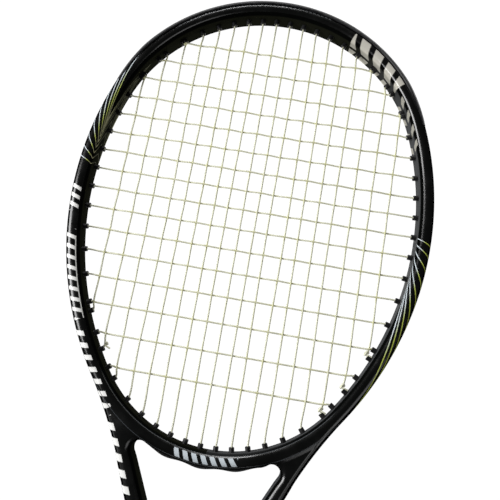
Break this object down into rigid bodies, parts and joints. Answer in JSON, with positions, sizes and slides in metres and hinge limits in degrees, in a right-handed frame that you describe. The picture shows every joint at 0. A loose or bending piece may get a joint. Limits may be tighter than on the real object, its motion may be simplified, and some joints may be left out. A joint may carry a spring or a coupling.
{
  "type": "tennis racket",
  "caption": "Graphite tennis racket with an oval hoop, open throat, woven string bed, head guard and a wrapped octagonal handle with a butt cap door.",
  "frame": {"origin": "middle of the butt end face, on the handle's axis and in the string plane", "axes": "+Y from the butt to the tip of the head, +X across the head, +Z out of the string plane"},
  "size_m": [0.2622, 0.6858, 0.035],
  "materials": {
    "frame_lacquer": "gloss lacquer over carbon laminate",
    "guard_plastic": "satin nylon",
    "grommet_plastic": "satin nylon",
    "string_cream": "smooth monofilament",
    "pallet_foam": "moulded foam",
    "grip_leatherette": "soft perforated wrap",
    "tape_black": "adhesive tape",
    "collar_rubber": "soft rubber",
    "cap_plastic": "moulded plastic",
    "door_plastic": "moulded plastic",
    "staple_steel": "plain wire"
  },
  "bodies": {
    "racket": {"frame_tube": "frame_lacquer", "throat_bridge": "frame_lacquer", "bumper_guard": "guard_plastic", "left_grommets": "grommet_plastic", "right_grommets": "grommet_plastic", "throat_grommets": "grommet_plastic", "main_strings": "string_cream", "cross_strings": "string_cream", "string_knots": "string_cream", "handle_pallet": "pallet_foam", "base_grip": "grip_leatherette", "finishing_tape": "tape_black", "butt_cap": "cap_plastic", "butt_staples": "staple_steel"},
    "collar": {"grip_collar": "collar_rubber"},
    "door": {"trap_door": "door_plastic"}
  },
  "joints": [
    {"name": "collar_slide", "type": "slide", "parent": "racket", "child": "collar", "axis": [0, 1, 0], "range_m": [0, 0.015]},
    {"name": "door_pull", "type": "slide", "parent": "racket", "child": "door", "axis": [0, -1, 0], "range_m": [0, 0.025]}
  ]
}
